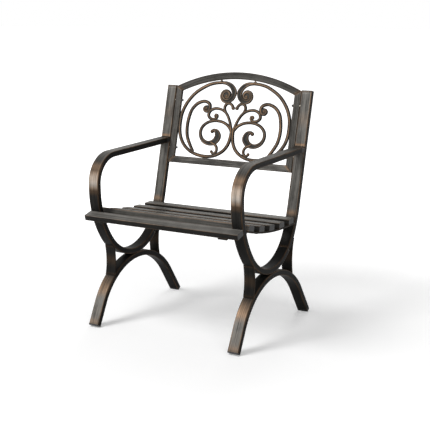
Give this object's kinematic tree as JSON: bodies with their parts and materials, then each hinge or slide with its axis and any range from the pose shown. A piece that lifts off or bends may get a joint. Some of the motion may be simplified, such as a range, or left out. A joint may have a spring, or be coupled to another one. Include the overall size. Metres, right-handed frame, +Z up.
{
  "type": "garden armchair",
  "caption": "Metal garden armchair with bent tube side frames on arched legs, a dished slatted seat and a framed back with a cast scroll panel.",
  "frame": {"origin": "centre of the floor area that the chair covers, on the floor", "axes": "+Z up, -Y the way the chair faces, +X to the right of someone looking at its front"},
  "size_m": [0.6, 0.56, 0.855],
  "materials": {
    "frame_steel": "black powder coat brushed with bronze, satin",
    "slat_steel": "dark grey-brown coat, finely brushed lengthwise",
    "black_plastic": "matte black",
    "cast_scroll": "black coat rubbed through to copper on the raised parts",
    "black_steel": "black oxide",
    "plated_inserts": "zinc plated"
  },
  "bodies": {
    "root": {"left_arm_tube": "frame_steel", "left_back_post": "frame_steel", "left_leg_arch": "frame_steel", "left_front_strap": "frame_steel", "left_rear_strap": "frame_steel", "left_seat_rail": "frame_steel", "left_slat_bracket": "frame_steel", "left_post_cap": "black_plastic", "left_front_foot": "black_plastic", "left_rear_foot": "black_plastic", "left_stile": "frame_steel", "right_arm_tube": "frame_steel", "right_back_post": "frame_steel", "right_leg_arch": "frame_steel", "right_front_strap": "frame_steel", "right_rear_strap": "frame_steel", "right_seat_rail": "frame_steel", "right_slat_bracket": "frame_steel", "right_post_cap": "black_plastic", "right_front_foot": "black_plastic", "right_rear_foot": "black_plastic", "right_stile": "frame_steel", "front_slat": "slat_steel", "slat_2": "slat_steel", "slat_3": "slat_steel", "slat_4": "slat_steel", "slat_5": "slat_steel", "slat_6": "slat_steel", "slat_plugs": "black_plastic", "top_rail": "frame_steel", "bottom_rail": "frame_steel", "scroll_panel": "cast_scroll", "slat_screws": "black_steel", "panel_screws": "black_steel", "back_bolts": "black_steel", "back_washers": "black_steel", "back_inserts": "plated_inserts"}
  },
  "joints": []
}
